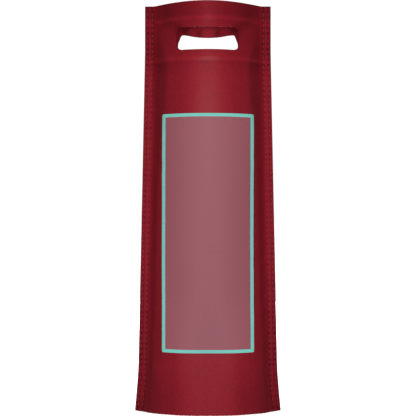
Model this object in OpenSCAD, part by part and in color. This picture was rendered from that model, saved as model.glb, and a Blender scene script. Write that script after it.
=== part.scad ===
// Bottle carrier: a sewn non-woven cloth bag for one bottle, with a punched hand hole,
// a turned-in mouth hem, a strip that stiffens the hole and a base that folds up inside.
// The bag stands open, as with a bottle in it. Front is -Y, up is +Z, origin under the base.

/* [Bag] */
// Height from the base to the mouth
bag_h = 400; // [320:5:480]
// Width over the two sewn edges at the mouth
mouth_w = 124.4; // [108:0.2:150]
// Width that the bag gains from its shoulders down to the base
taper_w = 14.8; // [4:0.2:24]
// Distance from the mouth down to the shoulders
shoulder_drop = 45; // [20:1:80]
// Width that the bottom corners gain where the folded base is sewn in
flare_w = 5; // [0:0.5:10]
// Depth of the open bag at the mouth, front to back
mouth_d = 88.4; // [60:0.2:96]
// Depth of the open bag at its waist
waist_d = 80.6; // [60:0.2:96]
// Depth of the open bag at the base
base_d = 72.8; // [56:0.2:80]
// Height over which the base swells to the depth of the waist
base_rise = 120; // [80:5:160]

/* [Cloth and edges] */
// Thickness of one layer of cloth
cloth_t = 0.5; // [0.3:0.05:1]
// Space left between two layers that lie on each other
ply_gap = 0.1; // [0.05:0.01:0.2]
// Width of the flat sewn edge on each side
flange_w = 9.4; // [8.5:0.1:14]
// Distance from the flat edge's inner end out to where its hollow root starts
root_out = 2.4; // [1:0.1:4]
// Depth of the hem turned in at the mouth
hem_h = 15.3; // [10:0.1:18]
// Distance from the mouth to the lower edge of the stiffening strip
strip_drop = 54.5; // [52:0.5:70]

/* [Base] */
// Height to which the base is folded up inside the side seams
fold_h = 45; // [30:1:60]
// Length of the flat floor, side to side, between the two folded ears
floor_l = 64; // [30:1:80]
// Height by which the bottom corners stand off the ground
corner_lift = 0.5; // [0:0.1:3]
// Length of each bottom edge that curves up to its corner
corner_run = 22; // [12:1:30]

/* [Hand hole] */
// Width of the hand hole, seen from the front
hole_w = 62; // [50:0.2:70]
// Height of the hand hole
hole_h = 21.6; // [20:0.2:26]
// Width by which each side of the hole is drawn in at the top
hole_in = 3.6; // [1:0.1:6]
// Height over which each side is drawn in
hole_slant = 8.4; // [6:0.1:10]
// Distance from the mouth to the top of the hand hole
hole_drop = 25.3; // [22:0.1:27]
// Radius of its two upper corners
hole_top_r = 3; // [1:0.1:4]
// Radius where its sides start to slant
hole_side_r = 8; // [2:0.1:10]
// Radius of its two lower corners
hole_low_r = 6; // [2:0.1:7]

/* [Side seams] */
// Distance from the cloth edge to the outer row of stitches
outer_row = 2.7; // [2:0.1:4]
// Distance from the cloth edge to the inner row of stitches
inner_row = 7.2; // [5:0.1:8]
// Length of one stitch with its hole
stitch_pitch = 5.2; // [3.5:0.1:8]
// Length of cloth between two stitches, where the thread goes in
stitch_hole = 1.4; // [0.6:0.1:3]
// Thickness of the sewing thread
thread_d = 0.6; // [0.3:0.05:0.8]

/* [Marked panel] */
// Width of the marked panel, seen from the front
mark_w = 89; // [60:0.2:90]
// Height of the marked panel
mark_h = 231; // [150:1:260]
// Height of its lower edge above the ground
mark_z = 60.7; // [50:0.1:100]
// Width of its border line
line_w = 3.2; // [2:0.1:6]
// Radius of its outer corners
mark_r = 1.3; // [0.5:0.1:4]
// Radius of its inner corners
field_r = 0.5; // [0.2:0.1:2]
// Thickness of the printed film
film_t = 0.2; // [0.1:0.05:0.5]

/* [Hidden] */

// Colours of the cloth, its thread and the print
cloth_red = [0.52, 0.10, 0.15];
strip_red = [0.45, 0.08, 0.12];
thread_red = [0.42, 0.05, 0.10];
field_pink = [0.59, 0.36, 0.39];
line_teal = [0.43, 0.75, 0.70];

// How the flare, the corner lift and the hollow root bend: exponents of their curves
flare_curve = 1.3;
lift_curve = 2;
root_curve = 1.3;

// The section at the base, over the fold, low and high on the body, in the slack cloth under
// the strip, and at the mouth: the exponent of its front, the depth that its steep side walls
// take up, and the distance over which the hollow root runs in to its front
curves = [2.9, 3.6, 2.2, 2.2, 2.1, 1.9];
walls = [0, 4, 7.5, 7.5, 11.5, 0];
roots = [5, 5.5, 7.6, 7.6, 14, 6];

// Numbers of facets: across half of the bulge, up each stretch, and along each leg of the base
bulge_steps = 12;
fold_steps = 5;
rise_steps = 4;
wall_steps = 6;
strip_steps = 3;
hem_steps = 2;
leg_steps = 3;
thread_sides = 14;
round_sides = 48;

// Length over which a layer of cloth rises onto the layers below it
ply_ramp = 3;
// Height at which the body's cloth starts to go slack, and how far under the strip it is slackest
slack_z = 225;
slack_drop = 10;
// Length over which the turned-in hem ends
hem_edge = 0.8;
// Space between the printed film and the cloth
film_seat = 0.12;
// Space between a thread and the cloth it lies on
thread_seat = 0.03;
// Distance by which the folded base ends short of the cloth edge
ear_back = 0.9;
// Distance from the first and last stitch to the ends of the seam
seam_end = 4;
// Length by which a cut runs past what it cuts
overrun = 5;
// Step, as a share of the section, at which its slope is read
slope_share = 0.01;

ply = cloth_t + ply_gap;
strip_z = bag_h - strip_drop;
hem_z = bag_h - hem_h;
ear_z = fold_h + ply_gap;
one_ply = ply_gap / 2 + cloth_t;
stations = [0, fold_h + ply_ramp, base_rise, slack_z, strip_z - slack_drop, hem_z];

// Half of the width over the sewn edges at height z
function half_width(z) =
    mouth_w / 2
    + taper_w / 2 * max(0, 1 - z / (bag_h - shoulder_drop))
    + flare_w / 2 * pow(max(0, 1 - z / fold_h), flare_curve);

// Half of the width of the bulge between the two flat edges
function half_chord(z) = half_width(z) - flange_w;

// Half of the depth over the cloth at height z
function half_depth(z) =
    base_d / 2
    + (waist_d - base_d) / 2 * (1 - pow(max(0, 1 - z / base_rise), 2))
    + (mouth_d - waist_d) / 2 * pow(z / bag_h, 2);

// A share eased from 0 to 1 with level ends
function ease(share) =
    let (s = max(0, min(1, share)))
    s * s * (3 - 2 * s);

// A value at height z, eased between those given at the stations
function at_height(values, z) =
    let (last = len(stations) - 2,
         gains = [for (k = [0:last]) values[k + 1] - values[k]],
         shares = [for (k = [0:last]) ease((z - stations[k]) / (stations[k + 1] - stations[k]))])
    values[0] + gains * shares;

// Distance from the seam's middle plane to the outer face of the flat edge. It holds two
// layers of cloth, and four where the base or the strip is sewn in too.
function edge_y(z) =
    one_ply + ply * max(0, min(1, 1 - (z - ear_z) / ply_ramp), min(1, 1 - (strip_z - z) / ply_ramp));

// Height by which the bottom edge stands off the ground at x, fading out over the fold
function lift(x, z) =
    corner_lift * max(0, 1 - z / fold_h)
    * pow(max(0, 1 - (half_width(0) - abs(x)) / corner_run), lift_curve);

// Distance from the flat edge's face out to the bulge's face, x from the middle at height z.
// A hollow root, a cubic with the front's own slope at its inner end, climbs the side wall.
function bulge(x, z) =
    let (chord = half_chord(z), curve = at_height(curves, z),
         wall = at_height(walls, z), root = at_height(roots, z),
         full = half_depth(z) - edge_y(z) - wall,
         run = root_out + root,
         at = (chord + root_out - x) / run,
         start = 1 - root / chord,
         rise = wall + full * (1 - pow(start, curve)),
         slope = full * curve * pow(start, curve - 1) / chord * run / root_curve,
         late = pow(max(0, at), root_curve))
    at >= 1 ? wall + full * (1 - pow(x / chord, curve))
    : rise * late * late * (3 - 2 * late) + slope * late * late * (late - 1);

// Outer face of the front at height z. The place u runs from -1 to 1 over the bulge, and
// on to 2 over the flat edge.
function skin(u, z) =
    let (over = max(0, abs(u) - 1),
         x = min(1, abs(u)) * half_chord(z) + over * flange_w)
    [sign(u) * x, -edge_y(z) - bulge(x, z)];

// Direction that points out of the cloth at a place of the front
function outward(u, z) =
    let (a = skin(max(-2, u - slope_share), z), b = skin(min(2, u + slope_share), z),
         d = (b - a) / norm(b - a))
    [d.y, -d.x];

// A point at depth inset below the outer face of the front
function below(u, z, inset) =
    let (p = skin(u, z) - inset * outward(u, z))
    [p.x, p.y, z + lift(p.x, z)];

function steps(from, to, n) = [for (k = [1:n]) from + (to - from) * k / n];

// Places across the cloth: the two flat edges, and the bulge with most of them at its sides
root_u = 1 + root_out / flange_w;
bulge_across = [for (k = [-bulge_steps:bulge_steps]) sin(90 * k / bulge_steps)];
across = concat([-2, -root_u], bulge_across, [root_u, 2]);

// Heights of the rows of facets, with a row wherever a layer starts or ends
strip_rows = concat([strip_z], steps(strip_z, hem_z - hem_edge, strip_steps));
panel_rows = concat([0], steps(0, ear_z, fold_steps), [ear_z + ply_ramp],
    steps(ear_z + ply_ramp, base_rise, rise_steps),
    steps(base_rise, strip_z - ply_ramp, wall_steps),
    strip_rows, steps(hem_z, bag_h, hem_steps));

// Thickness of the front or back: one layer, or two where the hem is turned in
function panel_t(z) =
    cloth_t + ply * max(0, min(1, (z - hem_z + hem_edge) / hem_edge));

// Two triangles over the corners a, b, c and d
function quad(a, b, c, d) = [[a, b, c], [a, c, d]];

// A closed sheet between two nets of points, each with rows of n points
module sheet(outer, inner) {
    rows = len(outer);
    n = len(outer[0]);
    m = rows * n;
    points = concat([for (row = outer) each row], [for (row = inner) each row]);
    faces = concat(
        [for (j = [0:rows - 2]) for (i = [0:n - 2])
            each quad(j * n + i, (j + 1) * n + i, (j + 1) * n + i + 1, j * n + i + 1)],
        [for (j = [0:rows - 2]) for (i = [0:n - 2])
            each quad(m + j * n + i, m + j * n + i + 1, m + (j + 1) * n + i + 1, m + (j + 1) * n + i)],
        [for (i = [0:n - 2]) each quad(i, i + 1, m + i + 1, m + i)],
        [for (i = [m - n:m - 2]) each quad(i, m + i, m + i + 1, i + 1)],
        [for (j = [0:rows - 2])
            each quad(j * n, m + j * n, m + (j + 1) * n, (j + 1) * n)],
        [for (j = [1:rows - 1])
            each quad(j * n - 1, (j + 1) * n - 1, m + (j + 1) * n - 1, m + j * n - 1)]);
    polyhedron(points = points, faces = faces, convexity = 6);
}

// The rounding of one corner of an outline: its two ends and the middle of its circle
function rounding(before, at, after, r) =
    let (a = (before - at) / norm(before - at), b = (after - at) / norm(after - at),
         half = acos(a * b) / 2)
    [at + r / tan(half) * a, at + r / tan(half) * b, at + r / sin(half) * (a + b) / norm(a + b)];

// An outline whose corners are rounded, each with its own radius
module rounded_outline(corners, radii) {
    n = len(corners);
    bends = [for (k = [0:n - 1])
        rounding(corners[(k + n - 1) % n], corners[k], corners[(k + 1) % n], radii[k])];
    polygon([for (bend = bends) each [bend[0], bend[1]]]);
    for (k = [0:n - 1])
        translate(bends[k][2])
            circle(r = radii[k], $fn = round_sides);
}

// The punch of the hand hole, from the front through to the back
module hole_punch() {
    top_z = bag_h - hole_drop;
    low_z = top_z - hole_h;
    side_z = top_z - hole_slant;
    half = hole_w / 2;
    top = half - hole_in;
    rotate([90, 0, 0])
        linear_extrude(height = mouth_d + 2 * overrun, center = true)
            rounded_outline(
                [[-half, low_z], [-half, side_z], [-top, top_z],
                 [top, top_z], [half, side_z], [half, low_z]],
                [hole_low_r, hole_side_r, hole_top_r, hole_top_r, hole_side_r, hole_low_r]);
}

module panel() {
    difference() {
        sheet([for (z = panel_rows) [for (u = across) below(u, z, 0)]],
            [for (z = panel_rows) [for (u = across) below(u, z, panel_t(z))]]);
        hole_punch();
    }
}

module front_panel() {
    color(cloth_red) panel();
}

module back_panel() {
    color(cloth_red) mirror([0, 1, 0]) panel();
}

// The strip lies against the inside of the front, between the hem and its own lower edge
module hole_strip() {
    top_row = hem_z - hem_edge - ply_gap;
    rows = concat([strip_z], steps(strip_z, top_row, strip_steps));
    difference() {
        sheet([for (z = rows) [for (u = across) below(u, z, ply)]],
            [for (z = rows) [for (u = across) below(u, z, ply + cloth_t)]]);
        hole_punch();
    }
}

module front_hole_strip() {
    color(strip_red) hole_strip();
}

module back_hole_strip() {
    color(strip_red) mirror([0, 1, 0]) hole_strip();
}

// One section of the base at the place u of the front's lower edge. Each leg leans from the
// fold at the bottom edge up to the crease in the middle. It is level over the floor and
// upright in the side seams, where the two legs lie between the front and the back.
function base_section(u) =
    let (place = sign(u) * min(abs(u), 2 - ear_back / flange_w),
         low = below(place, 0, ply + ply_gap / 2),
         foot = max(one_ply, -low.y),
         reach = (abs(low.x) - floor_l / 2) / (half_chord(0) - floor_l / 2),
         crease = cloth_t + (fold_h - cloth_t) * max(0, min(1, reach)),
         lean = atan2(crease - cloth_t, foot - one_ply),
         out = [[foot, low.z + cloth_t * cos(lean)], [one_ply, crease]],
         in = [[foot - cloth_t * sin(lean), low.z],
               [one_ply - cloth_t * tan(lean / 2), crease - cloth_t]])
    [for (leg = [out, in])
        let (along = [for (k = [0:leg_steps]) leg[0] + (leg[1] - leg[0]) * k / leg_steps],
             front = [for (p = along) [skin(place, p.y).x, -p.x, p.y]],
             back = [for (k = [leg_steps:-1:0]) let (p = front[k]) [p.x, -p.y, p.z]])
        concat(front, back)];

// The underside of the floor is one level face
module base_gusset() {
    sections = [for (u = across) base_section(u)];
    color(cloth_red) intersection() {
        sheet([for (s = sections) s[1]], [for (s = sections) s[0]]);
        translate([-half_width(0), -base_d / 2, 0])
            cube([2 * half_width(0), base_d, fold_h + overrun]);
    }
}

// A round thread from p to q
module thread(p, q) {
    d = q - p;
    translate(p)
        rotate([0, acos(d.z / norm(d)), atan2(d.y, d.x)])
            cylinder(h = norm(d), d = thread_d, $fn = thread_sides);
}

// One row of stitches on the front, at a distance from the cloth edge
module stitches(side, from_edge) {
    rise = thread_d / 2 + thread_seat;
    count = floor((bag_h - 2 * seam_end) / stitch_pitch);
    for (k = [0:count - 1]) {
        z0 = seam_end + k * stitch_pitch;
        z1 = z0 + stitch_pitch - stitch_hole;
        y = max(edge_y(z0), edge_y(z1)) + rise;
        thread([side * (half_width(z0) - from_edge), -y, z0],
            [side * (half_width(z1) - from_edge), -y, z1]);
    }
}

module left_outer_needle_thread() {
    color(thread_red) stitches(-1, outer_row);
}

module left_outer_bobbin_thread() {
    color(thread_red) mirror([0, 1, 0]) stitches(-1, outer_row);
}

module left_inner_needle_thread() {
    color(thread_red) stitches(-1, inner_row);
}

module left_inner_bobbin_thread() {
    color(thread_red) mirror([0, 1, 0]) stitches(-1, inner_row);
}

module right_outer_needle_thread() {
    color(thread_red) stitches(1, outer_row);
}

module right_outer_bobbin_thread() {
    color(thread_red) mirror([0, 1, 0]) stitches(1, outer_row);
}

module right_inner_needle_thread() {
    color(thread_red) stitches(1, inner_row);
}

module right_inner_bobbin_thread() {
    color(thread_red) mirror([0, 1, 0]) stitches(1, inner_row);
}

// A film over the whole front of the bulge, with the same facets as the cloth under it
module film() {
    sheet([for (z = panel_rows) [for (u = bulge_across) below(u, z, -film_seat - film_t)]],
        [for (z = panel_rows) [for (u = bulge_across) below(u, z, -film_seat)]]);
}

// What lies in front of the bag within a rounded rectangle about x = 0
module ahead(w, z0, z1, r) {
    rotate([90, 0, 0])
        linear_extrude(height = waist_d + 2 * overrun)
            translate([r - w / 2, z0 + r])
                offset(r = r, $fn = round_sides)
                    square([w - 2 * r, z1 - z0 - 2 * r]);
}

// What lies in front of the bag within the border line
module ahead_of_field() {
    ahead(mark_w - 2 * line_w, mark_z + line_w, mark_z + mark_h - line_w, field_r);
}

module print_field() {
    color(field_pink) intersection() {
        film();
        ahead_of_field();
    }
}

module print_border() {
    color(line_teal) difference() {
        intersection() {
            film();
            ahead(mark_w, mark_z, mark_z + mark_h, mark_r);
        }
        ahead_of_field();
    }
}

front_panel();
back_panel();
base_gusset();
front_hole_strip();
back_hole_strip();
left_outer_needle_thread();
left_outer_bobbin_thread();
left_inner_needle_thread();
left_inner_bobbin_thread();
right_outer_needle_thread();
right_outer_bobbin_thread();
right_inner_needle_thread();
right_inner_bobbin_thread();
print_field();
print_border();
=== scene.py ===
import itertools
import logging
import math
from dataclasses import dataclass
from enum import Enum
from typing import Callable

import bmesh
import bpy
from bpy.types import Material, Mesh, Node, NodeSocket as Socket, Object
from mathutils import Matrix, Vector, noise


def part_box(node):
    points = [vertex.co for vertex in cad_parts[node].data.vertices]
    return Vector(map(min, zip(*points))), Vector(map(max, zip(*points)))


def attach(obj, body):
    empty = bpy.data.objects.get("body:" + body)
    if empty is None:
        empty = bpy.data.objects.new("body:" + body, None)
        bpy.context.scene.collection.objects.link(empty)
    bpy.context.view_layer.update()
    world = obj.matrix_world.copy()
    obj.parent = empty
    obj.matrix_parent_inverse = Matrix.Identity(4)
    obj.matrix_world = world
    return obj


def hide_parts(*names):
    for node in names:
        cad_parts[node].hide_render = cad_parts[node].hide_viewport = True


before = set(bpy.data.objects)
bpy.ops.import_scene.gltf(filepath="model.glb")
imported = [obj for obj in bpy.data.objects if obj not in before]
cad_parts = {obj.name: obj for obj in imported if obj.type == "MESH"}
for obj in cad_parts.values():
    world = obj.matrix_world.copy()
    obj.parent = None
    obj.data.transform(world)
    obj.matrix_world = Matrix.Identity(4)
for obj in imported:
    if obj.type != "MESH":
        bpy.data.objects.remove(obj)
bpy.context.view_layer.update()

LOG = logging.getLogger("bottle_carrier")
MM = 0.001
BODY = "root"
FAR_FROM_SEAM = 60.0 * MM
SHARP_ANGLE = math.radians(55)
BOND_PITCH = 1.25 * MM
BOND_ANGLE = 45
BOND_SCATTER = 0.04
PUNCH_START = -1.0
PUNCH_DEPTH = 3.0
ROUND_STEPS = 8

Pair = tuple[float, float]
Triple = tuple[float, float, float]
Colour = Triple
# A span has a value's start and end, and the results that they are turned into.
Span = tuple[float, float, float, float]


class Face(Enum):
    """The two broad faces of the bag, with the sign of their outward Y."""

    FRONT = -1
    BACK = 1


class Edge(Enum):
    """The two sewn side edges, with the sign of their X."""

    LEFT = -1
    RIGHT = 1


class Row(Enum):
    """The two rows of stitches on an edge, with their distance from the cloth's edge."""

    OUTER = 2.7 * MM
    INNER = 7.2 * MM


def clamp(value: float, low: float = 0.0, high: float = 1.0) -> float:
    """Keep a value between a lowest and a highest one."""
    return max(low, min(high, value))


def smooth(value: float) -> float:
    """Ease a share from 0 to 1 with level ends."""
    share = clamp(value)
    return share * share * (3.0 - 2.0 * share)


def bell(distance: float, width: float) -> float:
    """Give a bell curve's height, 1 in its middle, at a distance from it."""
    return math.exp(-((distance / width) ** 2))


def wave(x: float, y: float, z: float) -> float:
    """Give the height of a fixed, uneven wave, which swings about 0, at a place."""
    return noise.noise(Vector((x, y, z)))


@dataclass(frozen=True)
class Ramp:
    """An eased rise from 0 to 1, in millimetres. It falls where its run is negative."""

    start: float
    run: float

    def at(self, place: float) -> float:
        """Height of the rise at a place in metres."""
        return smooth((place / MM - self.start) / self.run)


@dataclass(frozen=True)
class Spot:
    """A bell curve, 1 in its middle, in millimetres."""

    middle: float
    width: float

    def at(self, place: float) -> float:
        """Height of the bell at a place in metres."""
        return bell(place / MM - self.middle, self.width)


def share_rows(start: float, end: float, count: int) -> list[float]:
    """Split the way from start to end into a count of even steps, both ends included."""
    return [start + (end - start) * k / count for k in range(count + 1)]


def share_columns(end: float, over_edge: int, over_bulge: int) -> list[float]:
    """Split the way across the bag, over the bulge and both flat edges.

    Args:
        end: Where the cloth ends on a flat edge: 1 at its root, 2 at its outer side.
        over_edge: Number of steps over one flat edge.
        over_bulge: Number of steps over the bulge.

    Returns:
        The places as shares, as BagShape.x_at takes them.
    """
    edge = share_rows(-end, -1, over_edge)[:-1]
    return edge + share_rows(-1, 1, over_bulge) + [-u for u in reversed(edge)]


@dataclass(frozen=True)
class BagShape:
    """The open bag's form: its widths, depths and layers, all in metres.

    In its methods, x is a place across the bag, z a height, and u a share of the way across.
    """

    height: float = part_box("front_panel")[1][2]
    mouth_half: float = 62.2 * MM
    taper: float = 7.4 * MM
    shoulder_drop: float = 45.0 * MM
    flare: float = 2.5 * MM
    flare_curve: float = 1.3
    mouth_depth: float = 44.2 * MM
    waist_depth: float = 40.3 * MM
    base_depth: float = 36.4 * MM
    base_rise: float = 120.0 * MM
    slack_z: float = 215.0 * MM
    slack_drop: float = 10.0 * MM
    curves: tuple[float, ...] = (2.9, 3.6, 2.2, 2.2, 2.1, 1.9)
    walls: tuple[float, ...] = (0.0, 4.0 * MM, 7.5 * MM, 7.5 * MM, 11.5 * MM, 0.0)
    roots: tuple[float, ...] = (5.0 * MM, 5.5 * MM, 7.6 * MM, 7.6 * MM, 14.0 * MM, 6.0 * MM)
    flange: float = 9.4 * MM
    root_out: float = 2.4 * MM
    root_curves: tuple[float, ...] = (1.2, 1.3, 1.3, 1.3, 0.95, 0.95)
    cloth: float = 0.5 * MM
    ply_gap: float = 0.1 * MM
    hem: float = 15.3 * MM
    strip_drop: float = 54.5 * MM
    fold: float = 45.0 * MM
    floor: float = 64.0 * MM
    ear_back: float = 0.9 * MM
    corner_lift: float = 0.5 * MM
    corner_run: float = 22.0 * MM
    ply_ramp: float = 3.0 * MM
    hole_width: float = 62.0 * MM
    hole_height: float = 21.6 * MM
    hole_in: float = 3.6 * MM
    hole_slant: float = 8.4 * MM
    hole_drop: float = 25.3 * MM
    hole_top_round: float = 3.0 * MM
    hole_side_round: float = 8.0 * MM
    hole_low_round: float = 6.0 * MM
    pitch: float = 5.2 * MM
    seam_end: float = 4.0 * MM
    width_steps: int = 80

    @property
    def ply(self) -> float:
        """Thickness of a layer of cloth with the space to the next one."""
        return self.cloth + self.ply_gap

    @property
    def strip_z(self) -> float:
        """Height of the stiffening strip's lower edge."""
        return self.height - self.strip_drop

    @property
    def hem_z(self) -> float:
        """Height of the turned-in hem's lower edge."""
        return self.height - self.hem

    @property
    def hole_top(self) -> float:
        """Height of the hand hole's upper edge."""
        return self.height - self.hole_drop

    @property
    def hole_middle(self) -> float:
        """Height of the middle of the hand hole."""
        return self.hole_top - self.hole_height / 2

    def hole_half_width(self, z: float) -> float:
        """Half of the hand hole's width at height z."""
        up = clamp(1 - (self.hole_top - z) / self.hole_slant)
        return self.hole_width / 2 - self.hole_in * up

    def hole_punch(self) -> Mesh:
        """The punch that cuts the hand hole."""
        top = self.hole_top
        low, side = top - self.hole_height, top - self.hole_slant
        wide, narrow = self.hole_width / 2, self.hole_width / 2 - self.hole_in
        right = [(narrow, top), (wide, side), (wide, low)]
        left = [(-x, z) for x, z in reversed(right)]
        rounds = [self.hole_top_round, self.hole_side_round, self.hole_low_round]
        return extruded_outline(left + right, rounds[::-1] + rounds)

    def half_width(self, z: float) -> float:
        """Half of the width over the sewn edges at height z."""
        even = self.taper * max(0.0, 1 - z / (self.height - self.shoulder_drop))
        corner = self.flare * max(0.0, 1 - z / self.fold) ** self.flare_curve
        return self.mouth_half + even + corner

    def half_chord(self, z: float) -> float:
        """Half of the width of the bulge between the flat edges at height z."""
        return self.half_width(z) - self.flange

    def half_depth(self, z: float) -> float:
        """Half of the depth over the cloth at height z."""
        swell = 1 - max(0.0, 1 - z / self.base_rise) ** 2
        return (
            self.base_depth
            + (self.waist_depth - self.base_depth) * swell
            + (self.mouth_depth - self.waist_depth) * (z / self.height) ** 2
        )

    def edge_depth(self, z: float) -> float:
        """Distance from the seam's middle plane to the outer face of the flat edge."""
        over_fold = 1 - (z - self.fold - self.ply_gap) / self.ply_ramp
        at_strip = 1 - (self.strip_z - z) / self.ply_ramp
        extra = max(smooth(over_fold), smooth(at_strip))
        return self.ply_gap / 2 + self.cloth + self.ply * extra

    def lift(self, x: float, z: float) -> float:
        """Height by which the bottom edge stands off the ground near its corners."""
        run = max(0.0, 1 - (self.half_width(0) - abs(x)) / self.corner_run)
        return self.corner_lift * max(0.0, 1 - z / self.fold) * run**2

    def at_height(self, values: tuple[float, ...], z: float) -> float:
        """A value at height z between those given at the stations."""
        stations = (
            0.0, self.fold + self.ply_ramp, self.base_rise,
            self.slack_z, self.strip_z - self.slack_drop, self.hem_z,
        )
        total = values[0]
        for k, (low, high) in enumerate(zip(stations, stations[1:])):
            total += (values[k + 1] - values[k]) * smooth((z - low) / (high - low))
        return total

    def depth(self, x: float, z: float) -> float:
        """Distance from the seam's middle plane to the outer face at x and z.

        The flat edge runs into the bulge over a hollow root, which is a cubic from the
        edge's level to the bulge's own depth and slope.
        """
        edge = self.edge_depth(z)
        wall = self.at_height(self.walls, z)
        full = self.half_depth(z) - edge - wall
        chord = self.half_chord(z)
        curve = self.at_height(self.curves, z)
        inward = self.at_height(self.roots, z)
        run = self.root_out + inward
        at = (chord + self.root_out - abs(x)) / run
        if at <= 0:
            return edge
        if at >= 1:
            return edge + wall + full * (1 - (abs(x) / chord) ** curve)
        start = 1 - inward / chord
        bend = self.at_height(self.root_curves, z)
        rise = wall + full * (1 - start**curve)
        slope = full * curve * start ** (curve - 1) / chord * run / bend
        late = at**bend
        return edge + rise * late * late * (3 - 2 * late) + slope * late * late * (late - 1)

    def x_at(self, u: float, z: float) -> float:
        """Place across the bag at the share u: to 1 over the bulge and to 2 over the edge."""
        if abs(u) <= 1:
            return u * self.half_chord(z)
        over = (abs(u) - 1) * self.flange
        return math.copysign(self.half_chord(z) + over, u)

    def cut_width(self, z: float) -> float:
        """Width of the cloth at height z from edge to edge, laid flat."""
        places = share_rows(0.0, self.half_width(z), self.width_steps)
        points = [(x, self.depth(x, z)) for x in places]
        return 2 * sum(math.dist(a, b) for a, b in zip(points, points[1:]))

    def along(self, x: float) -> float:
        """Length along the cloth from its middle to x, for the cloth's own pattern."""
        chord = self.half_chord(self.height / 2)
        slope = 2 * self.waist_depth / chord**2
        reach = min(abs(x), chord)
        bent = 0.5 * reach * math.sqrt(1 + (slope * reach) ** 2)
        bent += math.asinh(slope * reach) / (2 * slope)
        return math.copysign(bent + abs(x) - reach, x)


@dataclass(frozen=True)
class Mark:
    """A painted shade or a gloss on the front, strongest where all its curves are. A negative shade is
    painted light.

    It has a strength in the bag's middle, what is added beside it, and its curves, each with
    the name of the place that it runs over.
    """

    middle: float
    beside: float
    curves: tuple[tuple[str, Ramp | Spot], ...]

    def at(self, places: dict[str, float], beside: float) -> float:
        """Strength of the mark at the named places."""
        curve = math.prod(curve.at(places[name]) for name, curve in self.curves)
        return (self.middle + self.beside * beside) * curve


RIDGE = ("over_ridge", Spot(0, 1.5))
HEM_RIDGE = ("over_hem", Spot(-2, 1.8))
IN_BAND = (("over_ridge", Ramp(0, 8)), ("over_hem", Ramp(1, -3)))
SHOULDER = (("z", Ramp(275, 25)), ("inner", Spot(12, 3.2)))
AT_MIDDLE = ("aside", Spot(0, 22))
# Painted shade on the front cloth's colour: in the carrying band, under the ridges, on the flanks, at the
# hole's corners, along the slanting draws and in the shoulders. The negative marks are painted light on the
# strip's ridge, on the hem's ridge and in the valley beside the seams.
FRONT_SHADES = {
    "band": Mark(0.10, 0.0, IN_BAND),
    "band on the ridge": Mark(-0.10, 0.0, (*IN_BAND, RIDGE)),
    "under the ridge": Mark(0.05, 0.0, (("over_ridge", Spot(-3, 2)),)),
    "below the ridge": Mark(0.04, 0.05, (("over_ridge", Ramp(0, -3)), ("over_ridge", Ramp(-16, 8)))),
    "ridge": Mark(-0.06, -0.08, (RIDGE,)),
    "flank": Mark(0.11, 0.0, (("aside", Spot(38, 8)), ("over_hem", Ramp(-12, 5)))),
    "corner of the hole": Mark(0.40, 0.0, (("aside", Spot(28.5, 4.5)), ("over_hole", Spot(-2.5, 4.5)))),
    "draw": Mark(0.14, 0.0, (("aside", Ramp(24, 5)), ("aside", Ramp(46, -8)), ("draw", Spot(2, 2.6)))),
    "hem": Mark(-0.05, -0.09, (HEM_RIDGE,)),
    "waist": Mark(-0.12, 0.0, (("z", Ramp(45, 20)), ("z", Ramp(280, -30)), ("inner", Spot(3.2, 2.5)))),
    "shoulder": Mark(0.09, 0.0, SHOULDER),
    "shoulder in the band": Mark(-0.09, 0.0, (*SHOULDER, *IN_BAND)),
}
FRONT_GLOSSES = {
    "ridge": Mark(0.17, 0.0, (RIDGE, AT_MIDDLE)),
    "hem": Mark(0.03, 0.0, (HEM_RIDGE, AT_MIDDLE)),
}


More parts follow.
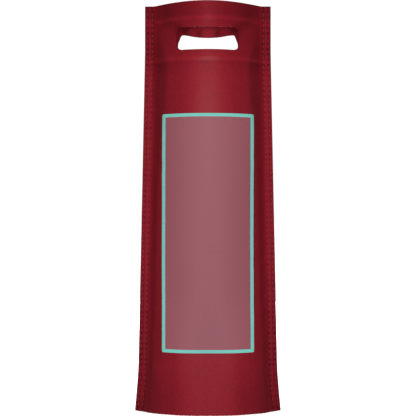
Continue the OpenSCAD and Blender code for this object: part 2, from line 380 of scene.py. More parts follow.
@dataclass(frozen=True)
class Relief:
    """Small forms on a face of the bag: ridges, seam puckers, soft folds and creases, with painted shade
    and light over them.

    Each method takes x, a place across the bag, and z, a height. A pace is how fast a wave
    runs, in steps a metre. A seed sets which uneven wave it is.
    """

    shape: BagShape
    face: Face
    ridge: float = 0.7 * MM
    ridge_drop: float = 1.5 * MM
    ridge_above: float = 1.7 * MM
    ridge_below: float = 3.6 * MM
    ridge_side: Ramp = Ramp(2, -5)
    ridge_bow: float = 0.6 * MM
    bow_pace: float = 30.0
    bow_seed: float = 3.0
    hem_step: float = 0.25 * MM
    hem_start: Ramp = Ramp(-1, 5)
    sewn_reach: float = 13.0 * MM
    row_sink: float = 0.30 * MM
    row_spot: Spot = Spot(0, 1)
    hole_sink: float = 0.50 * MM
    hole_spot: Spot = Spot(0, 1.1)
    puff: float = 0.25 * MM
    puff_spot: Spot = Spot(0, 1.3)
    puff_least: float = 0.6
    puff_swing: float = 0.8
    puff_pace: float = 160.0
    puff_seed: float = 4.0
    rim_drop: float = 0.25 * MM
    rim_side: Ramp = Ramp(1.1, -1.1)
    soft_fold: float = 0.45 * MM
    wide_paces: Pair = (22.0, 9.0)
    fine_paces: Pair = (60.0, 24.0)
    fine_share: float = 0.35
    fold_seeds: Pair = (7.0, 5.0)
    calm_share: float = 0.45
    calm_end: Ramp = Ramp(0, 45)
    fold_side: Ramp = Ramp(3, -3)
    gather: float = 0.35 * MM
    gather_pace: float = 75.0
    gather_seed: float = 9.0
    gather_slant: float = 0.5
    gather_run: tuple[Ramp, Ramp] = (Ramp(-2, 5), Ramp(22, -18))
    hollows: tuple[Spot, Spot] = (Spot(-21.9, 5), Spot(24.7, 5))
    hollow_height: Spot = Spot(4.6, 4.6)
    hollow_depth: float = 2.0 * MM
    # Painted shadow in the hollows, laid over their relief.
    hollow_shade: float = 0.46
    creases: tuple[Spot, Spot] = (Spot(-8, 3.2), Spot(9.4, 3.2))
    crease_height: Spot = Spot(3.8, 3.8)
    crease_depth: float = 0.6 * MM
    # Painted shadow in the short folds, laid over their relief.
    crease_shade: float = 0.44
    front_sag: float = 0.3
    sag: float = 0.6 * MM
    sag_middle: Spot = Spot(0, 13)
    corner_rise: float = 1.0 * MM
    rise_corner: Spot = Spot(23, 7)
    sag_height: Spot = Spot(1, 8)
    hole_press: float = 0.18 * MM
    press_side: Ramp = Ramp(2.2, -2.2)
    beside: Ramp = Ramp(15, 15)
    draw_slope: float = 0.35
    draw_from: float = 26.0 * MM

    def ridges(self, x: float, z: float) -> float:
        """Pressed ridges at the hem's and the strip's lower edges, which end at the seams."""
        shape = self.shape
        bow = self.ridge_bow * wave(x * self.bow_pace, self.face.value * self.bow_seed, 1.0)
        total = -self.hem_step * self.hem_start.at(z - shape.hem_z)
        for line in (shape.hem_z, shape.strip_z):
            over = z - line + self.ridge_drop - bow
            width = self.ridge_above if over > 0 else self.ridge_below
            total += self.ridge * self.ridge_side.at(abs(x) - shape.half_chord(z)) * bell(over, width)
        return total

    def puckers(self, x: float, z: float) -> float:
        """Rows of stitches drawn into the flat edge, with the cloth puffed between them."""
        shape = self.shape
        from_edge = shape.half_width(z) - abs(x)
        if from_edge > self.sewn_reach:
            return 0.0
        phase = (z - shape.seam_end) / shape.pitch
        sink = self.row_sink + self.hole_sink * self.hole_spot.at((phase - round(phase)) * shape.pitch)
        total = -sum(sink * self.row_spot.at(from_edge - row.value) for row in Row)
        between = (Row.OUTER.value + Row.INNER.value) / 2
        uneven = wave(z * self.puff_pace, math.copysign(self.puff_seed, x), self.face.value)
        puff = self.puff * (self.puff_least + self.puff_swing * uneven)
        total += puff * self.puff_spot.at(from_edge - between)
        return total - self.rim_drop * self.rim_side.at(from_edge)

    def soft_folds(self, x: float, z: float) -> float:
        """Low, wide waves of the limp cloth, calm in the middle of the bag."""
        seed = self.fold_seeds[0] + self.fold_seeds[1] * self.face.value
        wide = wave(x * self.wide_paces[0], z * self.wide_paces[1], seed)
        fine = wave(x * self.fine_paces[0], z * self.fine_paces[1], seed + 3)
        calm = self.calm_share + (1 - self.calm_share) * self.calm_end.at(abs(x))
        loose = self.fold_side.at(abs(x) - self.shape.half_chord(z))
        return self.soft_fold * (wide + self.fine_share * fine) * calm * loose

    def gathers(self, x: float, z: float) -> float:
        """Short slanting draws that run from the seam into the cloth."""
        inner = self.shape.half_chord(z) - abs(x)
        share = math.prod(ramp.at(inner) for ramp in self.gather_run)
        if share <= 0:
            return 0.0
        slant = (z + self.gather_slant * inner) * self.gather_pace
        return self.gather * share * wave(slant, math.copysign(self.gather_seed, x), 2.0 * self.face.value)

    def band_creases(self, x: float, z: float) -> Pair:
        """Shares of the two hollows and of the two short folds in the back's carrying band."""
        over_hole = z - self.shape.hole_top
        hollow = sum(spot.at(x) for spot in self.hollows) * self.hollow_height.at(over_hole)
        crease = sum(spot.at(x) for spot in self.creases) * self.crease_height.at(over_hole)
        return hollow, crease

    def handle_creases(self, x: float, z: float) -> float:
        """Relief of the back's hollows and short folds, which show through the front hole."""
        if self.face is Face.FRONT:
            return 0.0
        hollow, crease = self.band_creases(x, z)
        return self.hollow_depth * hollow + self.crease_depth * crease

    def hole_edge(self, x: float, z: float) -> float:
        """The cloth flattened round the punched hole."""
        shape = self.shape
        over_x = abs(x) - shape.hole_half_width(z)
        over_z = abs(z - shape.hole_middle) - shape.hole_height / 2
        return -self.hole_press * self.press_side.at(max(over_x, over_z))

    def height(self, x: float, z: float) -> float:
        """All the small forms together at a place, outward from the cloth."""
        forms = (
            self.ridges, self.puckers, self.soft_folds,
            self.gathers, self.handle_creases, self.hole_edge,
        )
        return sum(form(x, z) for form in forms)

    def droop(self, x: float, z: float) -> float:
        """Lowering of the limp carrying band over the middle of the hole, between its corners."""
        share = 1.0 if self.face is Face.BACK else self.front_sag
        sag = self.sag * self.sag_middle.at(x) - self.corner_rise * self.rise_corner.at(abs(x))
        return share * sag * self.sag_height.at(z - self.shape.hole_top)

    def wear(self, x: float, z: float) -> Pair:
        """Painted shade in the limp cloth's folds and hollows, painted light on its pressed ridges, and the
        gloss added there.

        Args:
            x: Place across the bag.
            z: Height.

        Returns:
            The shade, and the gloss added to the cloth's own.
        """
        if self.face is Face.BACK:
            # The back has painted shadow in its band's hollows and short folds.
            hollow, crease = self.band_creases(x, z)
            return self.hollow_shade * hollow + self.crease_shade * crease, 0.0
        shape, aside = self.shape, abs(x)
        over_hole = z - shape.hole_top
        places = {
            "z": z,
            "aside": aside,
            "inner": shape.half_chord(z) - aside,
            "over_ridge": z - shape.strip_z + self.ridge_drop,
            "over_hem": z - shape.hem_z,
            "over_hole": over_hole,
            "draw": over_hole - self.draw_slope * (aside - self.draw_from),
        }
        beside = self.beside.at(aside)
        shade = sum(mark.at(places, beside) for mark in FRONT_SHADES.values())
        return shade, sum(mark.at(places, beside) for mark in FRONT_GLOSSES.values())


@dataclass(frozen=True)
class Skin:
    """The outer face of one side of the bag, as places in the frame.

    Each method takes x, a place across the bag, and z, a height.
    A lean is the shift of the sewn edges at the ground and the height at which it ends.
    """

    shape: BagShape
    relief: Relief
    face: Face
    swing: float = 0.7 * MM
    swing_pace: float = 16.0
    swing_seed: float = 11.0
    swing_start: Ramp = Ramp(0, 30)
    swing_side: Ramp = Ramp(30, 25)
    leans: tuple[Pair, ...] = ((3.0 * MM, 70.0 * MM), (4.5 * MM, 190.0 * MM))
    lean_side: Ramp = Ramp(26, -26)
    slope_step: float = 0.4 * MM

    def sway(self, x: float, z: float) -> float:
        """Shift in Y of both faces together: a slow wave and lean of the sewn edges."""
        shape = self.shape
        waving = self.swing * wave(z * self.swing_pace, math.copysign(self.swing_seed, x), 0.0)
        waving *= self.swing_start.at(z) * self.swing_side.at(abs(x))
        from_edge = shape.half_width(z) - abs(x)
        lean = sum(most * max(0.0, 1 - z / end) for most, end in self.leans)
        lean *= clamp(from_edge / shape.flange) * self.lean_side.at(from_edge - shape.flange)
        return waving - lean

    def point(self, x: float, z: float, inset: float = 0.0) -> Vector:
        """A place on or under the outer face.

        Args:
            x: Place across the bag.
            z: Height.
            inset: Distance below the outer face.

        Returns:
            The place in the frame.
        """
        step = self.slope_step
        depth = self.shape.depth(x, z)
        slope = (self.shape.depth(x + step, z) - self.shape.depth(x - step, z)) / (2 * step)
        across = -slope / math.hypot(1, slope)
        out = 1 / math.hypot(1, slope)
        rise = self.relief.height(x, z) - inset
        place_y = self.face.value * (depth + rise * out) + self.sway(x, z)
        low = self.shape.lift(x, z) - self.relief.droop(x, z)
        return Vector((x + across * rise, place_y, z + low))


def finished_mesh(name: str, build: bmesh.types.BMesh) -> Mesh:
    """Turn what was built into a mesh.

    Args:
        name: Name of the mesh.
        build: What was built, which is freed.

    Returns:
        The mesh.
    """
    mesh = bpy.data.meshes.new(name)
    build.to_mesh(mesh)
    build.free()
    return mesh


def placed_object(name: str, data: bpy.types.ID) -> Object:
    """Make an object and put it in the scene.

    Args:
        name: Name of the object.
        data: Its mesh, light or camera.

    Returns:
        The object.
    """
    item = bpy.data.objects.new(name, data)
    bpy.context.scene.collection.objects.link(item)
    return item


class FlatCloth:
    """A cut of cloth, laid flat and closed all round, which is then bent into place.

    X runs across the cut, Z along it, and Y from its outer face, 0, to its inner face, 1.
    """

    def __init__(self, name: str, across: list[float], along: list[float]) -> None:
        """Lay the cloth out on a net of columns and rows.

        Args:
            name: Name of the piece.
            across: Places of the columns.
            along: Places of the rows.
        """
        self.name = name
        sheet = bmesh.new()
        columns, rows = len(across) - 1, len(along) - 1
        bmesh.ops.create_grid(sheet, x_segments=columns, y_segments=rows, size=1)
        for vert in sheet.verts:
            i = round((vert.co.x + 1) / 2 * columns)
            j = round((vert.co.y + 1) / 2 * rows)
            vert.co = Vector((across[i], 0.0, along[j]))
        bmesh.ops.recalc_face_normals(sheet, faces=sheet.faces)
        if next(iter(sheet.faces)).normal.y > 0:
            bmesh.ops.reverse_faces(sheet, faces=sheet.faces)
        bmesh.ops.solidify(sheet, geom=sheet.faces[:], thickness=1.0)
        for vert in sheet.verts:
            vert.co.y = 1.0 if abs(vert.co.y) > 0.5 else 0.0
        bmesh.ops.recalc_face_normals(sheet, faces=sheet.faces)
        self.mesh = finished_mesh(name, sheet)

    def shape_by(self, punch: Mesh, operation: str) -> None:
        """Cut the flat cloth with a closed punch.

        Args:
            punch: The punch's mesh.
            operation: DIFFERENCE to cut a hole, INTERSECT to keep what is inside.
        """
        cloth, tool = placed_object("flat_cloth", self.mesh), placed_object("flat_punch", punch)
        cut = cloth.modifiers.new("cut", "BOOLEAN")
        cut.object = tool
        cut.operation = operation
        cut.solver = "EXACT"
        graph = bpy.context.evaluated_depsgraph_get()
        result = bpy.data.meshes.new_from_object(cloth.evaluated_get(graph))
        for item in (cloth, tool):
            bpy.data.objects.remove(item)
        bpy.data.meshes.remove(punch)
        bpy.data.meshes.remove(self.mesh)
        self.mesh = result

    def bend(
        self,
        place: Callable[[float, float, float], Vector],
        pattern: Callable[[float, float], Pair],
        seam: Callable[[float, float], Pair] = lambda x, z: (FAR_FROM_SEAM, 0.0),
        wear: Callable[[float, float], Pair] = lambda x, z: (0.0, 0.0),
    ) -> Object:
        """Bend the flat cloth into place and make it an object.

        Args:
            place: Gives the place in the frame of a flat X, Z and share of the thickness.
            pattern: Gives the cloth pattern's own U and V of a flat X and Z.
            seam: Gives the distance from the sewn edge and the place along it.
            wear: Gives the cloth's shade and its extra gloss.

        Returns:
            The finished piece, with its place in its mesh.
        """
        cloth = bmesh.new()
        cloth.from_mesh(self.mesh)
        many = [f for f in cloth.faces if len(f.verts) > 4]
        bmesh.ops.triangulate(cloth, faces=many)
        cloth.verts.index_update()
        # The third map carries the painted shade and light, and the added gloss.
        for name, value_at in (("cloth", pattern), ("seam", seam), ("wear", wear)):
            values = [value_at(vert.co.x, vert.co.z) for vert in cloth.verts]
            layer = cloth.loops.layers.uv.new(name)
            for loop in itertools.chain.from_iterable(item.loops for item in cloth.faces):
                loop[layer].uv = values[loop.vert.index]
        for item in cloth.faces:
            item.smooth = True
        for vert in cloth.verts:
            vert.co = place(vert.co.x, vert.co.z, vert.co.y)
        bmesh.ops.recalc_face_normals(cloth, faces=cloth.faces)
        bpy.data.meshes.remove(self.mesh)
        mesh = finished_mesh(self.name, cloth)
        mesh.set_sharp_from_angle(angle=SHARP_ANGLE)
        return link_piece(self.name, mesh)


def link_piece(name: str, mesh: Mesh) -> Object:
    """Make an object of a finished mesh and let it ride on the bag.

    Args:
        name: Name of the piece.
        mesh: Its mesh, in place.

    Returns:
        The new object.
    """
    piece = placed_object(name, mesh)
    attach(piece, BODY)
    return piece


def extruded_outline(corners: list[Pair], rounds: list[float]) -> Mesh:
    """Make a punch that passes right through the flat cloth.

    Args:
        corners: Corners of its outline, X and Z, in order.
        rounds: Radius of each corner.

    Returns:
        The punch's closed mesh.
    """
    punch = bmesh.new()
    ring = [punch.verts.new((x, PUNCH_START, z)) for x, z in corners]
    front = punch.faces.new(ring)
    grown = bmesh.ops.extrude_face_region(punch, geom=[front])["geom"]
    back = [item for item in grown if isinstance(item, bmesh.types.BMVert)]
    bmesh.ops.translate(punch, vec=(0, PUNCH_DEPTH, 0), verts=back)
    bmesh.ops.recalc_face_normals(punch, faces=punch.faces)
    through = []
    for vert, radius in zip(ring, rounds):
        edge = next(e for e in vert.link_edges if e.other_vert(vert) in back)
        through.append((edge, radius * math.tan(edge.calc_face_angle() / 2)))
    for edge, offset in through:
        bmesh.ops.bevel(
            punch, geom=[edge], offset=offset, offset_type="OFFSET",
            segments=ROUND_STEPS, profile=0.5, affect="EDGES", material=-1,
        )
    return finished_mesh("punch", punch)


def rounded_box(width: float, low: float, high: float, radius: float) -> Mesh:
    """Make a punch that is a rectangle about X = 0 with rounded corners."""
    half = width / 2
    corners = [(-half, low), (-half, high), (half, high), (half, low)]
    return extruded_outline(corners, [radius] * len(corners))


def opaque(colour: Colour, share: float = 1.0) -> tuple[float, float, float, float]:
    """Take a share of a colour, with full alpha."""
    return (*(share * part for part in colour), 1.0)


class NodeTree:
    """A short way to add and join the nodes of one material.

    Where a method takes a value, it takes a number, a tuple or another node's output.
    """

    def __init__(self, name: str) -> None:
        """Start a material with a Principled shader.

        Args:
            name: Name of the material.
        """
        self.material = bpy.data.materials.new(name)
        self.material.use_nodes = True
        self.tree = self.material.node_tree
        self.tree.nodes.clear()
        self.shader = self.add("BsdfPrincipled", {})
        self.add("OutputMaterial", {"Surface": self.shader.outputs["BSDF"]})

    def feed(self, node: Node, entries: dict[str | int, object]) -> None:
        """Set a node's inputs, or join them to the outputs of other nodes.

        Args:
            node: The node.
            entries: A value for each input, by the input's name or number.
        """
        for entry, value in entries.items():
            if isinstance(value, Socket):
                self.tree.links.new(value, node.inputs[entry])
            else:
                node.inputs[entry].default_value = value

    def add(self, kind: str, entries: dict[str | int, object], **settings: str) -> Node:
        """Add a node.

        Args:
            kind: The node's type, without the words that all the types start with.
            entries: A value for each input, by the input's name or number.
            settings: The node's own settings.

        Returns:
            The node.
        """
        node = self.tree.nodes.new(f"ShaderNode{kind}")
        for key, value in settings.items():
            setattr(node, key, value)
        self.feed(node, entries)
        return node

    def value(self, operation: str, *values: float | Socket) -> Socket:
        """Run a Math operation over the values, from the left.

        Args:
            operation: Name of the operation.
            values: The values.

        Returns:
            The result.
        """
        result = values[0]
        for value in values[1:]:
            result = self.add("Math", {0: result, 1: value}, operation=operation).outputs[0]
        return result

    def plus(self, *values: float | Socket) -> Socket:
        """Add the values up."""
        return self.value("ADD", *values)

    def times(self, *values: float | Socket) -> Socket:
        """Multiply the values."""
        return self.value("MULTIPLY", *values)

    def absolute(self, value: Socket) -> Socket:
        """Drop a value's sign."""
        return self.add("Math", {0: value}, operation="ABSOLUTE").outputs[0]

    def span(self, value: Socket, start: float, end: float, first: float, last: float) -> Socket:
        """Turn a value between start and end evenly into one between first and last."""
        entries = {"From Min": start, "From Max": end, "To Min": first, "To Max": last}
        return self.add("MapRange", {"Value": value, **entries}).outputs[0]

    def eased(self, value: Socket, start: float, end: float, first: float, last: float) -> Socket:
        """Do as span does, with level ends."""
        result = self.span(value, start, end, first, last)
        result.node.interpolation_type = "SMOOTHSTEP"
        return result

    def mix(self, share: Socket, first: object, second: object) -> Socket:
        """Mix two colours by a share of the second."""
        return self.add("Mix", {0: share, 6: first, 7: second}, data_type="RGBA").outputs[2]

    def uv(self, name: str) -> Socket:
        """Read one of the piece's UV maps."""
        return self.add("UVMap", {}, uv_map=name).outputs["UV"]

    def split(self, vector: Socket) -> tuple[Socket, Socket]:
        """Give a vector's X and Y."""
        parts = self.add("SeparateXYZ", {"Vector": vector}).outputs
        return parts["X"], parts["Y"]

    def laid(self, vector: Socket, degrees: float, scale: Triple = (1, 1, 1)) -> Socket:
        """Turn and stretch a pattern's places."""
        entries = {"Vector": vector, "Rotation": (0, 0, math.radians(degrees)), "Scale": scale}
        return self.add("Mapping", entries).outputs["Vector"]

    def noise(self, vector: Socket, scale: float, detail: float = 2.0) -> Socket:
        """Add a flat noise of a scale and a detail."""
        entries = {"Vector": vector, "Scale": scale, "Detail": detail}
        return self.add("TexNoise", entries, noise_dimensions="2D").outputs["Fac"]

    def bonds(self, vector: Socket) -> Socket:
        """Distance from the nearest point of the cloth's slanting lattice of pressed points."""
        scale = 1 / BOND_PITCH
        entries = {"Vector": self.laid(vector, BOND_ANGLE), "Scale": scale, "Randomness": BOND_SCATTER}
        lattice = self.add("TexVoronoi", entries, voronoi_dimensions="2D", feature="F1")
        return lattice.outputs["Distance"]

    def bump(self, height: Socket, size: Pair, over: Socket | None = None) -> Socket:
        """Add a bump.

        Args:
            height: What the bump follows.
            size: Its strength and its depth.
            over: Another bump's normal, if it lies over one.

        Returns:
            The bump's normal.
        """
        entries = {"Height": height, "Strength": size[0], "Distance": size[1]}
        if over is not None:
            entries["Normal"] = over
        return self.add("Bump", entries).outputs["Normal"]


@dataclass(frozen=True)
class ClothFinish:
    """Spun-bonded polypropylene cloth: matted fibres with a lattice of pressed points.

    A pair of shades is for thin cloth and for thick, where the base or the strip lies in the
    seam. A shade is the share of a darker red that is mixed in as painted shade: on the pressed seam, its
    stitch rows and holes, the cut rim, low beside the seams and over the hem. The piece's own map adds
    painted shade and light.
    """

    name: str
    colour: Colour
    deep: Colour
    roughness: Span = (0.4, 0.8, 0.78, 0.64)
    seam_matt: float = 0.2
    gloss: float = 0.06
    metallic: float = 0.30
    coat: Span = (302.0 * MM, 362.0 * MM, 0.16, 0.05)
    coat_roughness: float = 0.42
    seam_dull: float = 0.7
    pressed_run: float = 3.0 * MM
    # Painted shade along the cloth's cut edge.
    rim_shade: Span = (0.6 * MM, 2.0 * MM, 0.10, 0.0)
    groove: Span = (0.4 * MM, 1.5 * MM, 1.0, 0.0)
    puncture: Span = (0.54 * MM, 1.8 * MM, 1.0, 0.0)
    # Painted shade over the pressed seam, in its stitch rows and in its stitch holes; each pair is for thin
    # cloth and for thick.
    seam_shades: Pair = (0.05, 0.12)
    groove_shades: Pair = (0.01, 0.28)
    dimple_shades: Pair = (0.32, 0.30)
    uneven_scale: float = 120.0
    uneven: Span = (0.3, 0.7, 0.5, 1.4)
    thick_low: Span = (85.0 * MM, 150.0 * MM, 1.0, 0.0)
    thick_high: Span = (336.0 * MM, 350.0 * MM, 0.0, 1.0)
    # Painted shade low in the bag, beside the seams, weaker on the pressed seam.
    foot: Span = (0.0, 45.0 * MM, 0.24, 0.0)
    foot_shade_side: Span = (23.0 * MM, 46.0 * MM, 1.0, 0.0)
    foot_shade_seam_share: float = 0.45
    # A shade mixed in everywhere, so that a negative painted shade can lighten the cloth as painted light.
    even_shade: float = 0.13
    # Painted shade over the hem band at the mouth.
    hem_under: float = 1.5 * MM
    hem_over: float = 3.0 * MM
    hem_shade: float = 0.62
    hem_deep: float = 0.72
    dark_deep: float = 0.12
    points: Span = (0.22, 0.42, 0.0, 1.0)
    point_shade: float = 0.35
    cloud_noise: Pair = (260.0, 5.0)
    clouds: Span = (0.3, 0.7, 0.0, 0.55)
    fibre_noise: Pair = (900.0, 3.0)
    fibre_lays: tuple[Pair, ...] = ((18, 9), (-27, 8), (76, 10))
    bond_bump: Pair = (0.28, 0.12 * MM)
    fibre_bump: Pair = (0.16, 0.10 * MM)

    def material(self, shape: BagShape) -> Material:
        """Build the cloth's material on its own UV maps, in metres.

        Args:
            shape: The bag, for the places of its seams and its hem.

        Returns:
            The material.
        """
        tree = NodeTree(self.name)
        cloth = tree.uv("cloth")
        points = tree.eased(tree.bonds(cloth), *self.points)
        lays = [tree.laid(cloth, angle, (1, stretch, 1)) for angle, stretch in self.fibre_lays]
        matted = tree.value("MAXIMUM", *(tree.noise(lay, *self.fibre_noise) for lay in lays))
        cloudy = tree.span(tree.noise(cloth, *self.cloud_noise), *self.clouds)
        raised = tree.value("SUBTRACT", self.point_shade, tree.times(points, self.point_shade))
        pressed, painted_shading, hem, coat = self.seam_masks(tree, shape)
        colour = tree.mix(tree.plus(cloudy, raised), opaque(self.colour), opaque(self.deep))
        # Painted shade over the hem band.
        colour = tree.mix(hem, colour, opaque(self.deep, self.hem_deep))
        rough = tree.plus(tree.span(matted, *self.roughness), tree.times(pressed, self.seam_matt))
        tree.feed(tree.shader, {
            # Painted shade and light mixed into the base colour.
            "Base Color": tree.mix(painted_shading, colour, opaque(self.deep, self.dark_deep)),
            "Roughness": rough,
            "Specular IOR Level": self.gloss,
            "Metallic": self.metallic,
            "Coat Weight": coat,
            "Coat Roughness": self.coat_roughness,
            "Normal": tree.bump(matted, self.fibre_bump, tree.bump(points, self.bond_bump)),
        })
        return tree.material

    def seam_masks(self, tree: NodeTree, shape: BagShape) -> tuple[Socket, Socket, Socket, Socket]:
        """Mark the pressed seam, the painted shade and the hem, on the piece's own maps.

        Args:
            tree: The material's nodes.
            shape: The bag.

        Returns:
            The pressed seam, the painted shade and light, the painted shade over the hem, and the
            coat, which is thinner over the carrying band.
        """
        seam = tree.uv("seam")
        from_edge, up = tree.split(seam)
        # Painted shade and light, and the added gloss, from the piece's third map.
        shade, polish = tree.split(tree.uv("wear"))
        pressed = tree.eased(from_edge, shape.flange - self.pressed_run, shape.flange, 1.0, 0.0)
        thick = tree.value("MAXIMUM", tree.span(up, *self.thick_low), tree.span(up, *self.thick_high))
        in_seam, in_groove, in_dimple = (
            tree.span(thick, 0.0, 1.0, *shades)
            for shades in (self.seam_shades, self.groove_shades, self.dimple_shades)
        )
        half = shape.pitch / 2
        wrapped = tree.value("PINGPONG", tree.value("SUBTRACT", up, shape.seam_end - half), half)
        near_hole = tree.eased(tree.value("SUBTRACT", half, wrapped), *self.puncture)
        from_rows = (tree.absolute(tree.value("SUBTRACT", from_edge, row.value)) for row in Row)
        groove = tree.value("MAXIMUM", *(tree.eased(aside, *self.groove) for aside in from_rows))
        varied = tree.span(tree.noise(seam, self.uneven_scale), *self.uneven)
        inside = tree.span(pressed, 0.0, 1.0, 1.0, self.foot_shade_seam_share)
        at_side = tree.times(tree.span(from_edge, *self.foot_shade_side), inside)
        # Painted shade mixed into the colour: over the pressed seam, in its stitch rows and holes, along
        # the cut rim, low beside the seams, and the painted shade and light from the third map. The even
        # shade lets a negative mark lighten the cloth.
        painted_shading = tree.plus(
            tree.times(pressed, in_seam, varied),
            tree.span(from_edge, *self.rim_shade),
            tree.times(groove, in_groove),
            tree.times(groove, near_hole, varied, in_dimple),
            tree.times(tree.span(up, *self.foot), at_side),
            shade,
            self.even_shade,
        )
        hem = tree.eased(up, shape.hem_z - self.hem_under, shape.hem_z + self.hem_over, 0.0, self.hem_shade)
        left = tree.value("SUBTRACT", 1.0, tree.times(pressed, self.seam_dull))
        return pressed, painted_shading, hem, tree.plus(tree.times(tree.span(up, *self.coat), left), polish)


@dataclass(frozen=True)
class ThreadFinish:
    """Two-ply polyester sewing thread with a soft gloss."""

    name: str
    colour: Colour
    deep: Colour
    roughness: Span = (0.3, 0.7, 0.7, 0.55)
    gloss: float = 0.12
    filament_angle: float = 24.0
    filament_scale: Triple = (26.0, 2.0, 1.0)
    filament_noise: Pair = (1.0, 3.0)
    bump: Pair = (0.4, 0.05 * MM)

    def material(self) -> Material:
        """Build the thread's material on its own UV map: fine filaments along the ply."""
        tree = NodeTree(self.name)
        laid = tree.laid(tree.uv("thread"), self.filament_angle, self.filament_scale)
        hairs = tree.noise(laid, *self.filament_noise)
        tree.feed(tree.shader, {
            "Base Color": tree.mix(hairs, opaque(self.deep), opaque(self.colour)),
            "Roughness": tree.span(hairs, *self.roughness),
            "Specular IOR Level": self.gloss,
            "Normal": tree.bump(hairs, self.bump),
        })
        return tree.material


@dataclass(frozen=True)
class FilmFinish:
    """A thin matt layer of ink, through which the cloth's pressed points still show."""

    name: str
    colour: Colour
    deep: Colour
    # Colour towards the film's sides: lighter, as painted light that evens its shading across the bulge.
    side: Colour
    side_light_span: Span = (0.0, 52.0 * MM, 0.0, 1.0)
    roughness: float = 0.66
    gloss: float = 0.2
    points: Span = (0.2, 0.42, 0.0, 1.0)
    point_shade: float = 0.22
    cloud_noise: Pair = (320.0, 5.0)
    clouds: Span = (0.3, 0.75, 0.0, 0.35)
    bump: Pair = (0.16, 0.1 * MM)

    def material(self) -> Material:
        """Build the film's material on its own UV map, in metres."""
        tree = NodeTree(self.name)
        cloth = tree.uv("cloth")
        points = tree.span(tree.bonds(cloth), *self.points)
        cloudy = tree.span(tree.noise(cloth, *self.cloud_noise), *self.clouds)
        thin = tree.plus(cloudy, tree.times(points, -self.point_shade), self.point_shade)
        # Painted light: the ink turns lighter towards the sides.
        side = tree.eased(tree.absolute(tree.split(cloth)[0]), *self.side_light_span)
        colour = tree.mix(side, opaque(self.colour), opaque(self.side))
        tree.feed(tree.shader, {
            "Base Color": tree.mix(thin, colour, opaque(self.deep)),
            "Roughness": self.roughness,
            "Specular IOR Level": self.gloss,
            "Normal": tree.bump(points, self.bump),
        })
        return tree.material


def dress(piece: Object, material: Material) -> None:
    """Give a piece its material.

    Args:
        piece: The piece.
        material: Its material.
    """
    piece.data.materials.clear()
    piece.data.materials.append(material)


@dataclass
class Panel:
    """The front or back cloth, with its hem turned in at the mouth and its hand hole."""

    skin: Skin
    face: Face
    bulge_columns: int = 84
    flange_columns: int = 12
    rows_per_stitch: int = 5
    fold_rows: int = 6
    hem_rows: int = 10
    hem_shown: float = 2.0 * MM

    @property
    def name(self) -> str:
        """Name of the piece."""
        return f"{self.face.name.lower()}_cloth"

    @property
    def fold_radius(self) -> float:
        """Radius of the mouth's fold, to the middle of the cloth."""
        return self.skin.shape.ply / 2

    @property
    def fold_start(self) -> float:
        """Place along the cloth where the mouth's fold starts."""
        shape = self.skin.shape
        return shape.height - self.fold_radius - shape.cloth / 2

    @property
    def hem_start(self) -> float:
        """Place along the cloth where the turned-in hem starts."""
        return self.fold_start + math.pi * self.fold_radius

    def rows(self) -> list[float]:
        """Places along the cloth, past the mouth and down the turned-in hem."""
        shape = self.skin.shape
        step = shape.pitch / self.rows_per_stitch
        count = int(self.fold_start / step - 0.5)
        wall = [k * step for k in range(count + 1)]
        fold = share_rows(self.fold_start, self.hem_start, self.fold_rows)
        hem = share_rows(self.hem_start, self.hem_start + shape.hem, self.hem_rows)
        return wall + fold + hem[1:]

    def height_of(self, along: float) -> float:
        """Height in the bag of a place along the cloth."""
        if along <= self.fold_start:
            return along
        if along < self.hem_start:
            turn = (along - self.fold_start) / self.fold_radius
            return self.fold_start + self.fold_radius * math.sin(turn)
        return self.fold_start - (along - self.hem_start)

    def seam_place(self, x: float, along: float) -> Pair:
        """Distance from the sewn edge and height, kept below the hem where it is turned in."""
        shape, z = self.skin.shape, self.height_of(along)
        shown = z if along <= self.hem_start else shape.hem_z - self.hem_shown
        return shape.half_width(z) - abs(x), shown

    def place(self, x: float, along: float, share: float) -> Vector:
        """Bend a flat place of the cloth into the bag."""
        cloth = self.skin.shape.cloth
        if along <= self.fold_start:
            return self.skin.point(x, along, share * cloth)
        if along < self.hem_start:
            turn = (along - self.fold_start) / self.fold_radius
            reach = self.fold_radius - (share - 0.5) * cloth
            inset = cloth / 2 + self.fold_radius - reach * math.cos(turn)
            return self.skin.point(x, self.fold_start + reach * math.sin(turn), inset)
        inset = cloth + 2 * self.fold_radius - share * cloth
        return self.skin.point(x, self.height_of(along), inset)

    def build(self, material: Material) -> Object:
        """Lay out, punch, bend and dress the cloth.

        Args:
            material: The cloth's material.

        Returns:
            The finished piece.
        """
        shape = self.skin.shape
        across = share_columns(2, self.flange_columns, self.bulge_columns)
        flat = FlatCloth(self.name, across, self.rows())
        for vert in flat.mesh.vertices:
            vert.co.x = shape.x_at(vert.co.x, self.height_of(vert.co.z))
        flat.shape_by(shape.hole_punch(), "DIFFERENCE")
        piece = flat.bend(
            self.place,
            lambda x, z: (shape.along(x), z),
            self.seam_place,
            lambda x, z: self.skin.relief.wear(x, self.height_of(z)),
        )
        dress(piece, material)
        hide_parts(f"{self.face.name.lower()}_panel")
        cut = (shape.cut_width(0.5 * shape.height), shape.height + shape.hem)
        return piece


